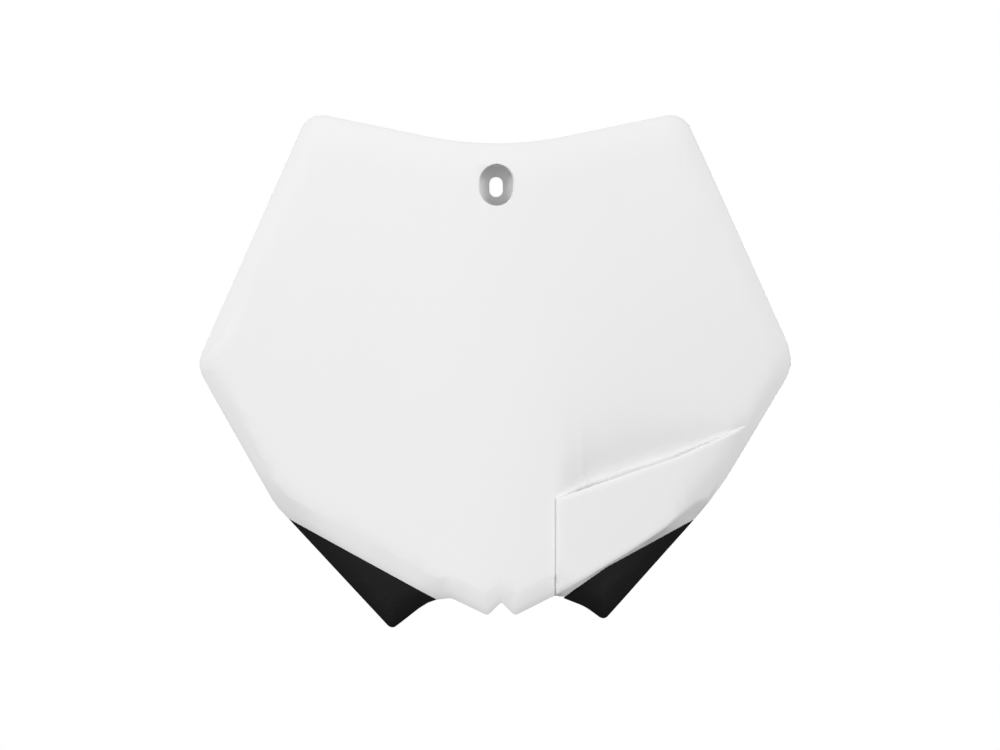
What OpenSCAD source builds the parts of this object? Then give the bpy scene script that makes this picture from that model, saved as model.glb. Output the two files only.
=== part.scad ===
// Front number plate of an off-road motorcycle. It is a thin moulded shell, seen from the front
// along +Y, with Z up and the screw slot's centre at the origin, on the boss's rear seat.
// Left and right are as seen from the front.

/* [Top edge] */
// Half the width across the two top corners
top_half_w = 89.9; // [70:0.1:110]
// Height of the top corners above the screw slot
top_rise = 36.1; // [30:0.1:60]
// How far the dip's two straight runs drop below the top corners
top_dip = 19; // [8:0.1:20]
// Radius in the middle of the dip
dip_r = 160; // [60:1:200]
// Radius of the two top corners
top_r = 10.5; // [4:0.1:18]

/* [Sides] */
// Half the width across the two side corners, before they are rounded
side_half_w = 144.5; // [120:0.1:170]
// Drop of the left side corner below the slot
side_drop_left = 85.7; // [60:0.1:105]
// Drop of the right side corner below the slot
side_drop_right = 84; // [60:0.1:100]
// Radius of the left side corner
side_r_left = 12.6; // [6:0.1:20]
// Radius of the right side corner
side_r_right = 18; // [6:0.1:22]

/* [Lower edges] */
// Sideways place of the soft bend in the lower left edge
bend_left_x = 106.4; // [103:0.1:112]
// Drop of the soft bend in the lower left edge
bend_left_drop = 152.6; // [146:0.1:156]
// Sideways place of the soft bend in the lower right edge
bend_right_x = 105.6; // [103:0.1:112]
// Drop of the soft bend in the lower right edge
bend_right_drop = 148.7; // [144:0.1:154]
// Radius of the left bend
bend_left_r = 20; // [10:1:60]
// Radius of the longer right bend
bend_right_r = 200; // [80:5:260]
// Sideways place of the left black tip
tip_left_x = 50.1; // [44:0.1:58]
// Drop of the left black tip
tip_left_drop = 212.6; // [205:0.1:225]
// Sideways place of the right black tip
tip_right_x = 51.9; // [48:0.1:58]
// Drop of the right black tip
tip_right_drop = 208.2; // [204:0.1:220]
// Radius of the black tips
tip_r = 3; // [1:0.1:5]

/* [Notch] */
// Sideways place of the notch in the lower edge
notch_x = 2.5; // [-4:0.1:5]
// Half the distance between the two low points beside the notch
notch_half_w = 6.5; // [4:0.1:9]
// Drop of the notch's apex
notch_drop = 199; // [196:0.1:202]
// Drop of the two low points
low_drop = 205.5; // [203:0.1:212]
// Radius of the low points
low_r = 2; // [0.5:0.1:3]
// Radius of the notch's apex
notch_r = 0.8; // [0.3:0.1:1.2]
// Half the width of the foot between the black corners, left of the notch
foot_left_w = 23.6; // [20:0.1:26]
// Half the width of the foot between the black corners, right of the notch
foot_right_w = 26; // [24:0.1:27]
// Drop of the foot's left shoulder
foot_left_drop = 197.3; // [195:0.1:199]
// Drop of the foot's right shoulder
foot_right_drop = 195.8; // [194:0.1:198]
// Distance from each shoulder to the start of the black corner's inner edge
inner_left_w = 9.6; // [8:0.1:12]
inner_right_w = 14.2; // [12:0.1:16]
// How far the right inner edge starts below the foot's right shoulder
inner_right_fall = 5.6; // [4:0.1:7]
// Radius of the black corners' hollow inner edge
inner_r = 23; // [10:0.5:26]

/* [Shell] */
// Wall of the white shell and the black corners, measured along Y
wall = 2.2; // [1.6:0.1:3]
// Angle at which the flanks sweep back at the top
sweep_top = 11; // [4:0.5:18]
// Angle at which the flanks sweep back at the bottom
sweep_bottom = 17; // [8:0.5:24]
// Radius of the rounded middle between the flanks
nose_r = 45; // [25:1:80]
// Radius of the upright profile
profile_r = 2600; // [500:10:3000]
// Height of the foremost line of the profile, below the slot
profile_drop = 90; // [40:1:120]
// Width of the evenly sloped band along the edges
roll_w = 5; // [3:0.5:8]
// Width over which that band eases into the face
roll_ease = 5.5; // [3:0.5:9]
// Slope of the band
roll_slope = 0.34; // [0.1:0.02:0.5]

/* [Screw pocket] */
// Width of the pocket
pocket_w = 17; // [14:0.1:20]
// Height of the pocket
pocket_h = 19.9; // [17:0.1:24]
// Depth of the pocket's floor behind the face
pocket_depth = 13; // [8:0.5:18]
// Thickness of the pocket's floor
pocket_floor = 3; // [2:0.1:4]
// How far the pocket's centre stands above the slot's
pocket_rise = 0.7; // [0:0.1:1]
// How far the pocket's floor is narrower than its mouth, for the mould's draft
pocket_draft = 0.8; // [0:0.1:1]
// Wall round the pocket
boss_wall = 2; // [1.6:0.1:3]
// Width of the slot, for an M6 screw
slot_w = 6.4; // [5:0.1:8]
// Height of the slot
slot_h = 9.6; // [8.5:0.1:12]

/* [Raised panel] */
// Sideways place of the panel's upright left edge
panel_x = 29.3; // [24:0.1:36]
// Drop of the panel's top left corner
panel_drop = 149.4; // [140:0.1:160]
// Sideways place of the kink in the panel's top edge
panel_kink_x = 87.9; // [75:0.1:95]
// Drop of the kink in the panel's top edge
panel_kink_drop = 129.4; // [124:0.1:134]
// Sideways place of the panel's tip
panel_tip_x = 120.5; // [112:0.1:123]
// Drop of the panel's tip
panel_tip_drop = 114.8; // [112:0.1:118]
// How far the panel stands proud at its left edge
panel_raise = 1.6; // [0.8:0.1:3]
// Width of the small bevel round the panel
panel_bevel = 0.9; // [0.4:0.1:1.2]
// Sideways place where the panel's lower edge runs out into the outline
panel_low_x = 103; // [101:0.1:106]
// Depth of the dish above the panel
dish_depth = 8; // [5:0.5:15]
// Height over which the dish runs out upwards
dish_h = 40; // [30:1:55]
// Width over which the dish starts beside the panel's left edge
dish_left_w = 20; // [10:1:30]
// Sideways place from which the dish runs out towards the panel's tip
dish_full_x = 65; // [55:1:80]
// Width over which the panel's right end rolls back
panel_roll_w = 20; // [12:1:26]
// How far the panel's right end rolls back
panel_roll = 3; // [1:0.1:5]

/* [Black corners] */
// Sideways place of the left black corner's outer end
black_left_x = 100; // [98:0.1:103]
// Sideways place of the left black corner's inner end
black_left_in = 28.4; // [26:0.1:30]
// Sideways place of the right black corner's outer end
black_right_x = 95.6; // [94:0.1:97.5]
// Sideways place of the right black corner's inner end
black_right_in = 32.2; // [31.5:0.1:34]
// Width of the evenly sloped band above the left black corner
step_w = 7.5; // [4:0.1:10]
// Width over which that band eases into the face
step_ease = 6; // [4:0.1:9]
// Slope of the band
step_slope = 0.24; // [0.1:0.02:0.6]
// How far the black faces lie behind the white ones beside them
black_gap = 0.4; // [0.1:0.05:0.8]
// How far the black sinks behind the white panel on the right
black_set = 5.6; // [2:0.1:10]

/* [Rear] */
// Thickness of the ribs
rib_t = 1.8; // [1.2:0.1:3]
// Reach of the ribs beside the pocket's boss
rib_reach = 22; // [10:1:30]
// Sideways place of the two locating hooks, either side of the notch
hook_x = 26; // [22:1:32]
// Drop of the hooks' lower end
hook_drop = 176; // [166:1:184]
// Height of the hooks
hook_h = 22; // [18:1:28]
// How far the hooks stand back behind the shell
hook_back = 15; // [12:1:20]
// Thickness of the hooks
hook_t = 3; // [2:0.1:4]
// Depth of the hooks' mouth
hook_mouth = 6; // [5:0.1:7]
// Thickness of a hook's free arm and of its corner
hook_arm = 4; // [3:0.1:5]
// How far the arm's root reaches down from the top of the hook
hook_root = 9; // [7:0.5:12]
// How far the base reaches up from the hook's lower end before it widens
hook_foot = 6; // [3:0.5:8]

/* [Hidden] */

// Points of the outline: [x, z, radius], clockwise from the left side corner
outline_corners = [
    [-side_half_w, -side_drop_left, side_r_left],
    [-top_half_w, top_rise, top_r],
    [0, top_rise - top_dip, dip_r],
    [top_half_w, top_rise, top_r],
    [side_half_w, -side_drop_right, side_r_right],
    [bend_right_x, -bend_right_drop, bend_right_r],
    [tip_right_x, -tip_right_drop, tip_r],
    [notch_x + foot_right_w + inner_right_w, -foot_right_drop - inner_right_fall, inner_r],
    [notch_x + foot_right_w, -foot_right_drop, low_r],
    [notch_x + notch_half_w, -low_drop, low_r],
    [notch_x, -notch_drop, notch_r],
    [notch_x - notch_half_w, -low_drop, low_r],
    [notch_x - foot_left_w, -foot_left_drop, 2 * low_r],
    [notch_x - foot_left_w - inner_left_w, -foot_left_drop, inner_r],
    [-tip_left_x, -tip_left_drop, tip_r],
    [-bend_left_x, -bend_left_drop, bend_left_r],
];

// Longest straight step along a rounded corner
arc_step = 8;
function unit(v) = v / norm(v);
function xz(p) = [p[0], p[1]];

// The arc that rounds corner b between its neighbours a and c
function fillet(a, b, c) =
    let (
        u = unit(xz(a) - xz(b)), v = unit(xz(c) - xz(b)),
        inside = acos(u * v), turn = 180 - inside,
        n = max(ceil(turn / 14), ceil(b[2] * turn * PI / 180 / arc_step)),
        centre = xz(b) + unit(u + v) * b[2] / sin(inside / 2),
        from = xz(b) + u * b[2] / tan(inside / 2) - centre,
        to = xz(b) + v * b[2] / tan(inside / 2) - centre
    )
    [for (k = [0:n]) centre + (from * sin(turn * (n - k) / n) + to * sin(turn * k / n)) / sin(turn)];

function rounded(corners) =
    let (n = len(corners))
    [for (i = [0:n - 1]) each fillet(corners[(i + n - 1) % n], corners[i], corners[(i + 1) % n])];

ring = rounded(outline_corners);
ring_n = len(ring);
left_i = search(min([for (p = ring) p[0]]), [for (p = ring) p[0]])[0];
right_i = search(max([for (p = ring) p[0]]), [for (p = ring) p[0]])[0];
top_chain = [for (i = [left_i:right_i]) ring[i]];
low_chain = [for (i = [left_i + ring_n:-1:right_i]) ring[i % ring_n]];

function top_z(x) = lookup(x, top_chain);
function low_z(x) = lookup(x, low_chain);

// The seams along which the white plastic meets the black
left_seam = [[-black_left_x, low_z(-black_left_x)], [-black_left_in, low_z(-black_left_in)]];
right_seam = [
    [black_right_in, low_z(black_right_in)],
    [37.5, -193.2],
    [52.9, -182.6],
    [black_right_x, low_z(black_right_x)],
];
function on_left_seam(x) = x > -black_left_x && x < -black_left_in;
function on_right_seam(x) = x > black_right_in && x < black_right_x;
function seam_z(x) = x < 0 ? lookup(x, left_seam) : lookup(x, right_seam);
function white_low_z(x) = on_left_seam(x) || on_right_seam(x) ? seam_z(x) : low_z(x);

// Distance from a point to the outline
function segment_gap(p, a, b) =
    let (t = max(0, min(1, (p - a) * (b - a) / ((b - a) * (b - a)))))
    norm(p - a - t * (b - a));
function edge_gap(p) = min([for (i = [0:ring_n - 1]) segment_gap(p, ring[i], ring[(i + 1) % ring_n])]);

function smooth(t) = let (s = max(0, min(1, t))) s * s * (3 - 2 * s);
function mix(a, b, t) = a + (b - a) * t;

// Depth of the bare swept form
face_y = -pocket_floor - pocket_depth;
function form_y(x, z) =
    let (
        low = smooth((top_rise - z) / (top_rise + low_drop)),
        lean = tan(mix(sweep_top, sweep_bottom, low)),
        rise = z + profile_drop
    )
    face_y + (sqrt(x * x + nose_r * nose_r) - nose_r) * lean
    + (rise * rise - profile_drop * profile_drop) / (2 * profile_r);

// Depth of a band of even slope that eases into the face
function band_y(gap, w, ease, slope) =
    slope * (max(0, w - gap) + pow(max(0, min(ease, w + ease - gap)), 2) / (2 * ease));
function roll_y(gap) = band_y(gap, roll_w, roll_ease, roll_slope);

// The soft step above the left black corner
seam_dir = unit(left_seam[1] - left_seam[0]);
function step_y(x, z) =
    let (above = max(0, ([x, z] - left_seam[0]) * [-seam_dir[1], seam_dir[0]]))
    band_y(above, step_w, step_ease, step_slope) * (1 - smooth((x + black_left_in) / 14));

// The panel's top edge, its lower edge and the dish above it
function ledge_z(x) = lookup(x, [
    [panel_x, -panel_drop], [panel_kink_x, -panel_kink_drop], [panel_tip_x, -panel_tip_drop]]);
function has_panel(x) = x >= panel_x && x <= panel_tip_x;
function has_wedge(x) = x >= panel_x && x < panel_low_x;
function panel_low_z(x) = lookup(x, [
    [panel_x, low_z(panel_x) + 0.4], [64.4, -175], [81.9, -163.4], [96.1, -152.4],
    [panel_low_x, low_z(panel_low_x) + 0.4]]);
function dish_share(x) =
    1 - pow(max(0, min(1, (x - dish_full_x) / (panel_tip_x - dish_full_x))), 1.3);
function dish_y(x, z) =
    let (above = max(0, z - ledge_z(x)), share = dish_share(x))
    x < panel_x - 2 || x >= panel_tip_x ? 0
    : dish_depth * share * smooth((x - panel_x + 2) / dish_left_w)
    * pow(max(0, 1 - above / (dish_h * share)), 3);
function near_tip(x) = smooth((panel_tip_x + 1 - x) / 9);
function at_panel_end(x) =
    smooth((x - panel_kink_x + 6) / 14) * smooth((panel_tip_x + 1 - x) / 14);
function panel_y(x, z, gap) =
    -panel_raise * near_tip(x)
    + panel_roll * at_panel_end(x) * pow(max(0, 1 - gap / panel_roll_w), 2);

// Front depth of the white face, on the panel or off it
function face_at(x, z, on_panel) =
    let (gap = edge_gap([x, z]))
    form_y(x, z)
    + (on_panel ? roll_y(gap) * (1 - at_panel_end(x) / 2) + panel_y(x, z, gap)
        : roll_y(gap) + step_y(x, z) + dish_y(x, z));

// Front depth of the black corners
function black_y(x, z) =
    form_y(x, z) + roll_y(edge_gap([x, z])) + black_gap
    + (x < 0 ? step_y(x, z)
        : black_set * mix(0.12 * smooth((x - panel_x) / 5), 1, smooth((x - black_right_in) / 48)));

// Front depth of the white shell's lower end below the panel, where it carries the black corner.
// Right of the corner it eases back into the panel's own face.
function wedge_y(x, z) =
    mix(black_y(x, z) - black_gap, face_at(x, z, true),
        smooth((x - black_right_x) / (panel_low_x - black_right_x)));

// The columns of the shell's grid
function sorted(v) = len(v) <= 1 ? v :
    let (p = v[floor(len(v) / 2)])
    concat(sorted([for (e = v) if (e < p) e]), [p], sorted([for (e = v) if (e > p) e]));
function spaced(v, gap, i = 0, out = []) = i == len(v) ? out :
    spaced(v, gap, i + 1, i == 0 || v[i] - out[len(out) - 1] >= gap ? concat(out, [v[i]]) : out);
function filled(v, gap) = [
    for (i = [0:len(v) - 2])
        let (n = ceil((v[i + 1] - v[i]) / gap))
        for (k = [0:n - 1]) mix(v[i], v[i + 1], k / n),
    v[len(v) - 1]];

foot = 0.35;
end_gap = 0.12;
max_gap = 5.5;
wall_xs = [panel_x - foot, panel_x, panel_x + panel_bevel];
key_xs = spaced(sorted([
    for (p = concat(top_chain, low_chain, left_seam, right_seam))
        if (p[0] < panel_x - 1.2 || p[0] > panel_x + panel_bevel + wall + 0.6)
        if (p[0] > ring[left_i][0] + 0.5 && p[0] < ring[right_i][0] - 0.5) p[0]]), 0.9);
left_xs = concat([ring[left_i][0] + end_gap], [for (x = key_xs) if (x < panel_x) x]);
right_xs = concat([for (x = key_xs) if (x > panel_x) x], [ring[right_i][0] - end_gap]);
columns = concat(filled(left_xs, max_gap), wall_xs, filled(right_xs, max_gap));

// Heights of one column's points, from the lower edge to the upper one. back is 0 on the front
// and the wall's thickness on the back, where the walls round the panel step aside by it.
low_n = 7;
high_n = 13;
function eased(a, b, n, k) = mix(a, b, (1 - cos(180 * k / n)) / 2);
left_share = (low_z(panel_x) + panel_drop) / (low_z(panel_x) - top_z(panel_x));
tip_share = (low_z(panel_tip_x) + panel_tip_drop) / (low_z(panel_tip_x) - top_z(panel_tip_x));
function heights(x, back) =
    let (
        low = white_low_z(x), top = top_z(x), h = top - low,
        strip = has_wedge(x) ? panel_low_z(x) - low - back * 0.4
            : x > panel_x ? min(1.5, 0.02 * h) : min(step_w / 2, 0.05 * h),
        slope = has_wedge(x) ? panel_bevel
            : x > panel_x ? min(2.5, 0.03 * h) : min(step_w / 2 + step_ease * 0.4, 0.06 * h),
        share = x < panel_x ? left_share : tip_share,
        ledge = has_panel(x) ? ledge_z(x) - back : low + share * h,
        bevel = min(panel_bevel, 0.01 * h),
        step = min(foot, 0.006 * h)
    )
    [
        low, low + max(0.3, strip),
        for (k = [0:low_n]) eased(low + max(0.3, strip) + slope, ledge - bevel, low_n, k),
        ledge,
        for (k = [0:high_n]) eased(ledge + step, top, high_n, k),
    ];
row_n = low_n + high_n + 5;
ledge_row = low_n + 3;

// One column's points on the front or the back
function column(x, back) =
    let (
        at = x >= panel_x - foot && x <= panel_x + panel_bevel ? x + back : x,
        zs = heights(x, back),
        panel = has_panel(x)
    )
    [for (j = [0:row_n - 1])
        let (
            z = min(zs[j], top_z(at)),
            on = panel && j >= 1 && j <= ledge_row,
            worn = panel && (j == ledge_row || x == panel_x || (j == 1 && has_wedge(x))),
            y = on ? face_at(at, z, true) + (worn ? panel_bevel / 2 * near_tip(x) : 0)
                : panel && j == 0 && x > panel_x ? wedge_y(at, z)
                : face_at(at, z, false)
        )
        [at, y + back, z]];

// A closed shell from a front grid and a back grid of the same shape
module grid_shell(front, back) {
    m = len(front);
    n = len(front[0]);
    points = concat([for (c = front) each c], [for (c = back) each c]);
    function f(i, j) = i * n + j;
    function b(i, j) = m * n + i * n + j;
    faces = [
        for (i = [0:m - 2], j = [0:n - 2]) each [
            [f(i, j), f(i + 1, j), f(i + 1, j + 1)], [f(i, j), f(i + 1, j + 1), f(i, j + 1)],
            [b(i, j), b(i + 1, j + 1), b(i + 1, j)], [b(i, j), b(i, j + 1), b(i + 1, j + 1)]],
        for (i = [0:m - 2]) each [
            [f(i, 0), b(i, 0), b(i + 1, 0)], [f(i, 0), b(i + 1, 0), f(i + 1, 0)],
            [f(i, n - 1), b(i + 1, n - 1), b(i, n - 1)],
            [f(i, n - 1), f(i + 1, n - 1), b(i + 1, n - 1)]],
        for (j = [0:n - 2]) each [
            [f(0, j), b(0, j + 1), b(0, j)], [f(0, j), f(0, j + 1), b(0, j + 1)],
            [f(m - 1, j), b(m - 1, j), b(m - 1, j + 1)],
            [f(m - 1, j), b(m - 1, j + 1), f(m - 1, j + 1)]],
    ];
    polyhedron(points, [for (t = faces) [t[2], t[1], t[0]]]);
}

module white_shell() {
    grid_shell([for (x = columns) column(x, 0)], [for (x = columns) column(x, wall)]);
}

// An upright stadium drawn in the XZ plane and run from one depth to another
module stadium(w, h, from, to) {
    translate([0, to, 0]) rotate([90, 0, 0]) linear_extrude(to - from) {
        for (s = [-1, 1]) translate([0, s * (h - w) / 2]) circle(d = w, $fn = 64);
        square([w, h - w], center = true);
    }
}

// The pocket narrows towards its floor, on the side away from the viewer's left
module pocket() {
    translate([pocket_draft / 2, 0, pocket_rise]) stadium(pocket_w, pocket_h, face_y - 10, face_y + 1);
    hull() {
        translate([pocket_draft / 2, 0, pocket_rise])
            stadium(pocket_w, pocket_h, face_y + 0.5, face_y + 1);
        translate([0, 0, pocket_rise])
            stadium(pocket_w - pocket_draft, pocket_h - pocket_draft / 2, -pocket_floor - 0.5, -pocket_floor);
    }
}

// Ribs follow the middle of the wall and taper to nothing at their end
function in_wall(x, z) = form_y(x, z) + wall * 0.6;
module side_rib(side) {
    start = pocket_w / 2;
    translate([0, 0, -rib_t / 2]) linear_extrude(rib_t) polygon([
        for (k = [0:4]) let (x = start + k * rib_reach / 4) [side * x, in_wall(x, 0)],
        [side * start, -pocket_floor]]);
}
module lower_rib() {
    start = pocket_h / 2;
    translate([-rib_t / 2, 0, 0]) rotate([90, 0, 90]) linear_extrude(rib_t) polygon([
        for (k = [0:4]) let (z = -start - k * rib_reach / 4) [in_wall(0, z), z],
        [-pocket_floor, -start]]);
}

// A hook behind the lower part, open downwards
module hook(x) {
    top = -hook_drop + hook_h;
    back = form_y(x, -hook_drop) + wall + hook_back;
    inner = back - hook_arm;
    translate([x - hook_t / 2, 0, 0]) rotate([90, 0, 90]) linear_extrude(hook_t) polygon([
        for (k = [0:4]) let (z = mix(-hook_drop, top, k / 4)) [in_wall(x, z), z],
        [inner, top], [back, top - hook_arm], [back, -hook_drop], [inner, -hook_drop],
        [inner, top - hook_root], [inner - hook_mouth, top - hook_root],
        [inner - hook_mouth, -hook_drop + hook_foot],
    ]);
}

module plate() {
    color([0.93, 0.93, 0.93]) difference() {
        union() {
            white_shell();
            translate([pocket_draft / 2, 0, pocket_rise])
                stadium(pocket_w + 2 * boss_wall, pocket_h + 2 * boss_wall, face_y + wall * 0.6, 0);
            for (side = [-1, 1]) side_rib(side);
            lower_rib();
            for (side = [-1, 1]) hook(notch_x + side * hook_x);
        }
        pocket();
        stadium(slot_w, slot_h, -pocket_floor - 5, 5);
    }
}

// A black corner between its seam above and the outline below
module black_corner(from, to) {
    rows = 6;
    xs = filled(concat([from + 0.3],
        spaced(sorted([for (p = concat(low_chain, left_seam, right_seam))
            if (p[0] > from + 1.2 && p[0] < to - 1.2) p[0]]), 0.9), [to - 0.3]), max_gap);
    function grid(back) = [for (x = xs) [for (j = [0:rows])
        let (z = mix(low_z(x), seam_z(x), j / rows)) [x, black_y(x, z) + back, z]]];
    color([0.1, 0.1, 0.1]) grid_shell(grid(0), grid(wall));
}

module corner_left() { black_corner(-black_left_x, -black_left_in); }
module corner_right() { black_corner(black_right_in, black_right_x); }

plate();
corner_left();
corner_right();
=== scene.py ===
# %% [markdown]
# A front number plate for an off-road motorcycle, finished in Blender. The plate is one thin
# white moulding with a screw pocket, a raised panel and two black lower corners. Its solids come
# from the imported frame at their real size, so this lesson is about finish: clean smooth shading,
# softened edges, two moulded plastics, and light that shows shallow forms on a white surface.

# %% Load the frame
import math

import bpy
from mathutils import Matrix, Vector


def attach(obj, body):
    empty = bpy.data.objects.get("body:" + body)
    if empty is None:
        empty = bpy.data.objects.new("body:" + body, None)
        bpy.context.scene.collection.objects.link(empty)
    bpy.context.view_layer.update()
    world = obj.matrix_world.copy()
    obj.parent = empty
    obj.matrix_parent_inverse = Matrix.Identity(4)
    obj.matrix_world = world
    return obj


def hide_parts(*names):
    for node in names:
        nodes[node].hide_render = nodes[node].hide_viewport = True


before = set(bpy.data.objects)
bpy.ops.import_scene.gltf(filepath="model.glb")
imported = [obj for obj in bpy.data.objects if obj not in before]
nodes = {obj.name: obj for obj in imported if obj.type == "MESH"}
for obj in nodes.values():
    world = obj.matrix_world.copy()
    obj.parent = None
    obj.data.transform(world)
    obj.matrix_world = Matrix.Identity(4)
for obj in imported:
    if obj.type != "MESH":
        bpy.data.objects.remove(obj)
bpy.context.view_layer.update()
MM = 0.001

# %% [markdown]
# The photograph looks straight at the front of the plate through a long lens, so its sides show
# almost no perspective. A camera four metres away gives the same flat look, and the focal length
# follows from how much of the object's plane the picture takes in.

# %% Camera
PICTURE_WIDTH = 480.5 * MM
PICTURE_CENTRE = Vector((1.9 * MM, 0.0, -90.3 * MM))
CAMERA_DISTANCE = 4.0
SENSOR_WIDTH = 36.0

camera_data = bpy.data.cameras.new("camera")
camera_data.sensor_width = SENSOR_WIDTH
camera_data.lens = SENSOR_WIDTH * CAMERA_DISTANCE / PICTURE_WIDTH
camera = bpy.data.objects.new("camera", camera_data)
camera.location = PICTURE_CENTRE + Vector((0.0, -CAMERA_DISTANCE, 0.0))
camera.rotation_euler = (math.radians(90.0), 0.0, 0.0)
bpy.context.scene.collection.objects.link(camera)
bpy.context.scene.camera = camera
bpy.context.scene.view_settings.view_transform = "Standard"
print("lens in mm:", round(camera_data.lens, 1))

# %% [markdown]
# A white part on a white ground is drawn by its shading alone. Two soft lamps stand well to the
# left and right and a little above, the left one stronger, as in a product studio. The broad face
# gets both, every surface that tilts away turns slightly grey, and the floor of the deep screw
# pocket gets neither, so it reads as a dark ring. The lamps are five metres off, because a near
# lamp makes the side next to it too bright. A third lamp behind lights the ribs and hooks at the
# back, and none of its light reaches the face. A weak world fills the rest. It is white only to
# rays from the camera, a mirror or a clear surface, so the ground is bright while the part is lit
# at a plain level.

# %% Lamps and world
AIM = Vector((0.0, 0.0, -90.0 * MM))
LAMP_DISTANCE = 5.0
LAMP_SIZE = 1.4


def add_lamp(name, azimuth, elevation, power):
    turn = math.radians(azimuth)
    rise = math.radians(elevation)
    place = AIM + LAMP_DISTANCE * Vector(
        (math.sin(turn) * math.cos(rise), -math.cos(turn) * math.cos(rise), math.sin(rise)))
    lamp_data = bpy.data.lights.new(name, "AREA")
    lamp_data.shape = "DISK"
    lamp_data.size = LAMP_SIZE
    lamp_data.energy = power
    lamp = bpy.data.objects.new(name, lamp_data)
    lamp.location = place
    lamp.rotation_euler = (AIM - place).to_track_quat("-Z", "Y").to_euler()
    bpy.context.scene.collection.objects.link(lamp)


add_lamp("left lamp", azimuth=-52.0, elevation=10.0, power=200.0)
add_lamp("right lamp", azimuth=52.0, elevation=10.0, power=167.0)
add_lamp("rear lamp", azimuth=200.0, elevation=22.0, power=170.0)

WORLD_FILL = 0.27
WHITE = (1.0, 1.0, 1.0, 1.0)


def math_node(tree_nodes, operation):
    made = tree_nodes.new("ShaderNodeMath")
    made.operation = operation
    return made


world = bpy.data.worlds.new("studio")
bpy.context.scene.world = world
world.use_nodes = True
world_nodes = world.node_tree.nodes
world_links = world.node_tree.links
world_nodes.clear()
world_out = world_nodes.new("ShaderNodeOutputWorld")
fill_light = world_nodes.new("ShaderNodeBackground")
fill_light.inputs["Color"].default_value = WHITE
fill_light.inputs["Strength"].default_value = WORLD_FILL
white_ground = world_nodes.new("ShaderNodeBackground")
white_ground.inputs["Color"].default_value = WHITE
white_ground.inputs["Strength"].default_value = 1.0
light_path = world_nodes.new("ShaderNodeLightPath")
sees_ground = math_node(world_nodes, "MAXIMUM")
sees_through = math_node(world_nodes, "MAXIMUM")
ground_mix = world_nodes.new("ShaderNodeMixShader")
world_links.new(light_path.outputs["Is Camera Ray"], sees_ground.inputs[0])
world_links.new(light_path.outputs["Is Glossy Ray"], sees_ground.inputs[1])
world_links.new(sees_ground.outputs[0], sees_through.inputs[0])
world_links.new(light_path.outputs["Is Transmission Ray"], sees_through.inputs[1])
world_links.new(sees_through.outputs[0], ground_mix.inputs["Fac"])
world_links.new(fill_light.outputs[0], ground_mix.inputs[1])
world_links.new(white_ground.outputs[0], ground_mix.inputs[2])
world_links.new(ground_mix.outputs[0], world_out.inputs["Surface"])

# %% [markdown]
# The floor is a plain pale sheet well below the plate. The plate is held by its screw, so it
# doesn't stand on the floor. Near the plate the floor's own diffuse colour keeps a soft shadow,
# and further out it turns to the same white as the ground, so no edge or horizon shows behind the
# part. The diffuse colour is dark, because light thrown up from a white floor would flatten the
# dish. From below the floor is clear, so that the plate's lower edge can be looked at too.

# %% Floor
FLOOR_DROP = 0.34
FLOOR_SIZE = 12.0
SHADOW_RADIUS = 0.35
WHITE_RADIUS = 0.95
NEAR_WHITE = 0.8
FLOOR_TONE = (0.2, 0.2, 0.2, 1.0)

bpy.ops.object.select_all(action="DESELECT")
bpy.ops.mesh.primitive_plane_add(size=FLOOR_SIZE, location=(0.0, 0.0, -FLOOR_DROP))
floor = bpy.context.object
floor.name = "floor"
bpy.ops.object.transform_apply(location=True, rotation=True, scale=True)

floor_material = bpy.data.materials.new("pale floor")
floor_material.use_nodes = True
floor_nodes = floor_material.node_tree.nodes
floor_links = floor_material.node_tree.links
floor_nodes.clear()
floor_out = floor_nodes.new("ShaderNodeOutputMaterial")
floor_diffuse = floor_nodes.new("ShaderNodeBsdfDiffuse")
floor_diffuse.inputs["Color"].default_value = FLOOR_TONE
floor_white = floor_nodes.new("ShaderNodeEmission")
floor_white.inputs["Strength"].default_value = 1.0
floor_path = floor_nodes.new("ShaderNodeLightPath")
floor_place = floor_nodes.new("ShaderNodeTexCoord")
floor_distance = floor_nodes.new("ShaderNodeVectorMath")
floor_distance.operation = "LENGTH"
floor_fade = floor_nodes.new("ShaderNodeMapRange")
floor_fade.interpolation_type = "SMOOTHSTEP"
floor_fade.inputs["From Min"].default_value = SHADOW_RADIUS
floor_fade.inputs["From Max"].default_value = WHITE_RADIUS
floor_fade.inputs["To Min"].default_value = NEAR_WHITE
floor_share = math_node(floor_nodes, "MULTIPLY")
floor_mix = floor_nodes.new("ShaderNodeMixShader")
floor_side = floor_nodes.new("ShaderNodeNewGeometry")
floor_below = floor_nodes.new("ShaderNodeBsdfTransparent")
floor_one_sided = floor_nodes.new("ShaderNodeMixShader")
floor_links.new(floor_place.outputs["Object"], floor_distance.inputs[0])
floor_links.new(floor_distance.outputs["Value"], floor_fade.inputs["Value"])
floor_links.new(floor_fade.outputs["Result"], floor_share.inputs[1])
floor_links.new(floor_path.outputs["Is Camera Ray"], floor_share.inputs[0])
floor_links.new(floor_share.outputs[0], floor_mix.inputs["Fac"])
floor_links.new(floor_diffuse.outputs[0], floor_mix.inputs[1])
floor_links.new(floor_white.outputs[0], floor_mix.inputs[2])
floor_links.new(floor_mix.outputs[0], floor_one_sided.inputs[1])
floor_links.new(floor_side.outputs["Backfacing"], floor_one_sided.inputs["Fac"])
floor_links.new(floor_below.outputs[0], floor_one_sided.inputs[2])
floor_links.new(floor_one_sided.outputs[0], floor_out.inputs["Surface"])
floor.data.materials.append(floor_material)

# %% [markdown]
# Both plastics come out of a polished or a spark-eroded mould. Up close, neither is perfectly
# even: the resin has faint clouds of gloss, and the skin has a very fine grain. One node group
# makes these two effects from object coordinates, and each plastic places it with its own values.

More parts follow.
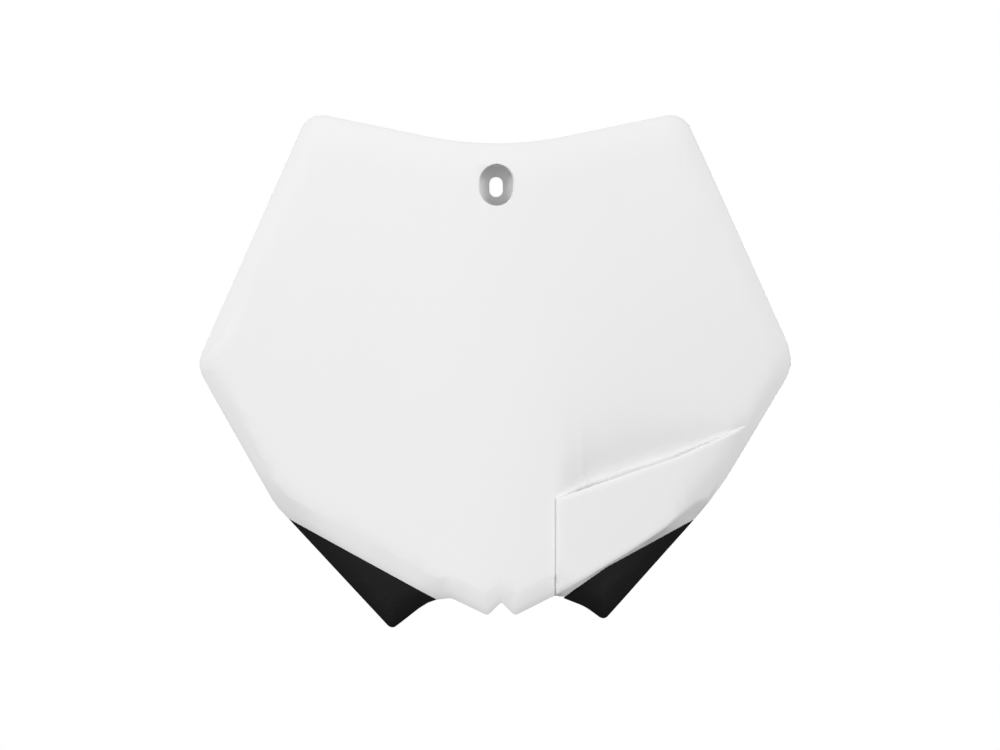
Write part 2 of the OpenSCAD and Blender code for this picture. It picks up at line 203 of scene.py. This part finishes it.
# %% Moulded skin, a node group for both plastics
GRAIN_DETAIL = 3.0
CLOUD_DETAIL = 4.0
CLOUD_SOFTNESS = 0.45
MEAN_NOISE = 0.5


def make_skin_group():
    group = bpy.data.node_groups.new("moulded skin", "ShaderNodeTree")
    face = group.interface
    for name, value in (("Grain Size", 900.0), ("Grain Depth", 0.1), ("Cloud Size", 18.0),
                        ("Roughness", 0.35), ("Roughness Change", 0.06), ("Tone Change", 0.02)):
        socket = face.new_socket(name, in_out="INPUT", socket_type="NodeSocketFloat")
        socket.default_value = value
    tone_in = face.new_socket("Tone", in_out="INPUT", socket_type="NodeSocketColor")
    tone_in.default_value = (0.8, 0.8, 0.8, 1.0)
    face.new_socket("Color", in_out="OUTPUT", socket_type="NodeSocketColor")
    face.new_socket("Roughness", in_out="OUTPUT", socket_type="NodeSocketFloat")
    face.new_socket("Height", in_out="OUTPUT", socket_type="NodeSocketFloat")

    made = group.nodes
    link = group.links.new
    group_in = made.new("NodeGroupInput")
    group_out = made.new("NodeGroupOutput")
    coordinates = made.new("ShaderNodeTexCoord")
    grain = made.new("ShaderNodeTexNoise")
    grain.inputs["Detail"].default_value = GRAIN_DETAIL
    clouds = made.new("ShaderNodeTexNoise")
    clouds.inputs["Detail"].default_value = CLOUD_DETAIL
    clouds.inputs["Roughness"].default_value = CLOUD_SOFTNESS
    link(coordinates.outputs["Object"], grain.inputs["Vector"])
    link(coordinates.outputs["Object"], clouds.inputs["Vector"])
    link(group_in.outputs["Grain Size"], grain.inputs["Scale"])
    link(group_in.outputs["Cloud Size"], clouds.inputs["Scale"])

    grain_height = math_node(made, "MULTIPLY")
    link(grain.outputs["Fac"], grain_height.inputs[0])
    link(group_in.outputs["Grain Depth"], grain_height.inputs[1])
    link(grain_height.outputs[0], group_out.inputs["Height"])

    centred = math_node(made, "SUBTRACT")
    centred.inputs[1].default_value = MEAN_NOISE
    link(clouds.outputs["Fac"], centred.inputs[0])
    gloss = math_node(made, "MULTIPLY_ADD")
    link(centred.outputs[0], gloss.inputs[0])
    link(group_in.outputs["Roughness Change"], gloss.inputs[1])
    link(group_in.outputs["Roughness"], gloss.inputs[2])
    link(gloss.outputs[0], group_out.inputs["Roughness"])

    lightness = math_node(made, "MULTIPLY_ADD")
    lightness.inputs[2].default_value = 1.0
    link(centred.outputs[0], lightness.inputs[0])
    link(group_in.outputs["Tone Change"], lightness.inputs[1])
    toned = made.new("ShaderNodeVectorMath")
    toned.operation = "SCALE"
    link(group_in.outputs["Tone"], toned.inputs[0])
    link(lightness.outputs[0], toned.inputs["Scale"])
    link(toned.outputs[0], group_out.inputs["Color"])
    return group


skin_group = make_skin_group()


def moulded_plastic(name, tone, skin, specular, bump_distance):
    material = bpy.data.materials.new(name)
    material.use_nodes = True
    made = material.node_tree.nodes
    link = material.node_tree.links.new
    shader = made["Principled BSDF"]
    shader.inputs["Specular IOR Level"].default_value = specular
    group = made.new("ShaderNodeGroup")
    group.node_tree = skin_group
    group.inputs["Tone"].default_value = (*tone, 1.0)
    for socket, value in skin.items():
        group.inputs[socket].default_value = value
    bump = made.new("ShaderNodeBump")
    bump.inputs["Distance"].default_value = bump_distance
    link(group.outputs["Color"], shader.inputs["Base Color"])
    link(group.outputs["Roughness"], shader.inputs["Roughness"])
    link(group.outputs["Height"], bump.inputs["Height"])
    link(bump.outputs["Normal"], shader.inputs["Normal"])
    return material


# %% [markdown]
# The white is a satin plastic from a polished mould, with almost no grain. The black corners are
# matt, from a finely eroded part of the mould, so they show a fine grain and a wide, weak shine.

# %% The two plastics
white_plastic = moulded_plastic(
    "white satin plastic", (0.76, 0.76, 0.76),
    {"Grain Size": 700.0, "Grain Depth": 0.05, "Roughness": 0.5, "Roughness Change": 0.08,
     "Tone Change": 0.01},
    specular=0.1, bump_distance=0.0002)
black_plastic = moulded_plastic(
    "black matt plastic", (0.0055, 0.0055, 0.0057),
    {"Grain Size": 1100.0, "Grain Depth": 0.5, "Roughness": 0.6, "Roughness Change": 0.08,
     "Tone Change": 0.1},
    specular=0.1, bump_distance=0.0003)

# %% [markdown]
# The solids are made of flat facets, and the real moulding is smooth. Each solid gets a copy that
# takes its place. The copy keeps the shape, and the cells below only clean and smooth its mesh.

# %% Copies of the solids
def copy_node(node, name):
    piece = nodes[node].copy()
    piece.data = nodes[node].data.copy()
    piece.name = name
    piece.parent = None
    for key in list(piece.keys()):
        del piece[key]
    bpy.context.scene.collection.objects.link(piece)
    bpy.ops.object.select_all(action="DESELECT")
    piece.select_set(True)
    bpy.context.view_layer.objects.active = piece
    return piece


def clear_selection(kind):
    bpy.ops.object.mode_set(mode="EDIT")
    bpy.ops.mesh.select_mode(type=kind)
    bpy.ops.mesh.select_all(action="DESELECT")
    bpy.ops.object.mode_set(mode="OBJECT")


# %% [markdown]
# Points closer than a few hundredths of a millimetre are merged, which removes most of the thin
# folded facets. Round the screw pocket the distance is shorter, because its wall has fine facets
# of its own. A merge can flatten a fold into a fin, a face whose edges all belong to other faces
# already. Fins are deleted, and the surface stays closed without them.

# %% Merge points and delete fins
MERGE_GAP = 0.06 * MM
POCKET_GAP = 0.01 * MM
TOUCH_GAP = 0.001 * MM
POCKET_REACH = 15.0 * MM
FACES_PER_EDGE = 2


def near_pocket(point):
    return math.hypot(point.x, point.z) < POCKET_REACH


def delete_fins(piece):
    faces_on = {}
    for face in piece.data.polygons:
        for key in face.edge_keys:
            faces_on[key] = faces_on.get(key, 0) + 1
    clear_selection("FACE")
    for face in piece.data.polygons:
        face.select = all(faces_on[key] != FACES_PER_EDGE for key in face.edge_keys)
    bpy.ops.object.mode_set(mode="EDIT")
    bpy.ops.mesh.delete(type="FACE")
    bpy.ops.object.mode_set(mode="OBJECT")


def merge_points(piece):
    for in_pocket, gap in ((True, POCKET_GAP), (False, MERGE_GAP)):
        clear_selection("VERT")
        for vertex in piece.data.vertices:
            vertex.select = near_pocket(vertex.co) == in_pocket
        bpy.ops.object.mode_set(mode="EDIT")
        bpy.ops.mesh.remove_doubles(threshold=gap)
        bpy.ops.object.mode_set(mode="OBJECT")
    delete_fins(piece)


def merge_touching_points(piece):
    bpy.ops.object.mode_set(mode="EDIT")
    bpy.ops.mesh.select_all(action="SELECT")
    bpy.ops.mesh.remove_doubles(threshold=TOUCH_GAP)
    bpy.ops.object.mode_set(mode="OBJECT")
    delete_fins(piece)


# %% [markdown]
# The screw pocket cuts through the front face's facets and leaves slivers at its rim, which would
# show as streaks. So the nearly level faces round the pocket are dissolved into wider ones first,
# and then all triangles are joined back into four-sided faces.

# %% Join the facets
FRONT_NORMAL_Y = -0.3
RIM_DEPTH = -11.0 * MM
LEVEL_ANGLE = math.radians(3.0)
QUAD_BEND = math.radians(12.0)
QUAD_SKEW = math.radians(60.0)


def join_facets(piece):
    clear_selection("FACE")
    for face in piece.data.polygons:
        at_rim = near_pocket(face.center) and face.center.y < RIM_DEPTH
        face.select = at_rim and face.normal.y < FRONT_NORMAL_Y
    bpy.ops.object.mode_set(mode="EDIT")
    bpy.ops.mesh.dissolve_limited(angle_limit=LEVEL_ANGLE)
    bpy.ops.mesh.select_all(action="SELECT")
    bpy.ops.mesh.tris_convert_to_quads(face_threshold=QUAD_BEND, shape_threshold=QUAD_SKEW)
    bpy.ops.object.mode_set(mode="OBJECT")


# %% [markdown]
# No moulded edge is a knife edge. The sharp edges of the front get a narrow bevel, which is what
# catches the light. Clamping stays off, because one very short edge anywhere would shrink every
# bevel to nothing. An edge between faces that are folded back on each other is left out, because
# its bevel would stick out of the plate. The back is left out too: where ribs and hooks grow out
# of the shell, the bevels would meet in tight corners and spike.

# %% Softened front edges
SHARP_ANGLE = math.radians(38.0)
EDGE_WIDTH = 0.2 * MM
BEVEL_STEPS = 2
FOLDED_BACK = -0.7


def soften_front_edges(piece):
    clear_selection("EDGE")
    bpy.ops.object.mode_set(mode="EDIT")
    bpy.ops.mesh.edges_select_sharp(sharpness=SHARP_ANGLE)
    bpy.ops.object.mode_set(mode="OBJECT")
    normals_at = {}
    for face in piece.data.polygons:
        for key in face.edge_keys:
            normals_at.setdefault(key, []).append(face.normal)
    for edge in piece.data.edges:
        normals = normals_at[edge.key]
        in_front = min(normal.y for normal in normals) < FRONT_NORMAL_Y
        folded = len(normals) == FACES_PER_EDGE and normals[0].dot(normals[1]) < FOLDED_BACK
        edge.select = edge.select and in_front and not folded
    bpy.ops.object.mode_set(mode="EDIT")
    bpy.ops.mesh.bevel(offset=EDGE_WIDTH, segments=BEVEL_STEPS, clamp_overlap=False)
    bpy.ops.object.mode_set(mode="OBJECT")


# %% [markdown]
# One function runs these steps in order. Shading is then smoothed wherever the surface bends
# gently, and the plastic is put on.

# %% Smooth copies
SMOOTH_ANGLE = math.radians(24.0)


def smooth_copy(node, name, material):
    piece = copy_node(node, name)
    merge_points(piece)
    join_facets(piece)
    soften_front_edges(piece)
    merge_touching_points(piece)
    bpy.ops.object.shade_smooth_by_angle(angle=SMOOTH_ANGLE)
    piece.data.materials.clear()
    piece.data.materials.append(material)
    print(name, "faces:", len(piece.data.polygons))
    return piece


# %% [markdown]
# Each copy stands in for its node, which is hidden. It rides on the only body, and it gets the
# plastic made above.

# %% Stand in for the nodes
plate = smooth_copy("plate", "plate_shell", white_plastic)
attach(plate, "root")
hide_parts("plate")

for side in ("left", "right"):
    corner = smooth_copy(f"corner_{side}", f"black_corner_{side}", black_plastic)
    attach(corner, "root")
    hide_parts(f"corner_{side}")
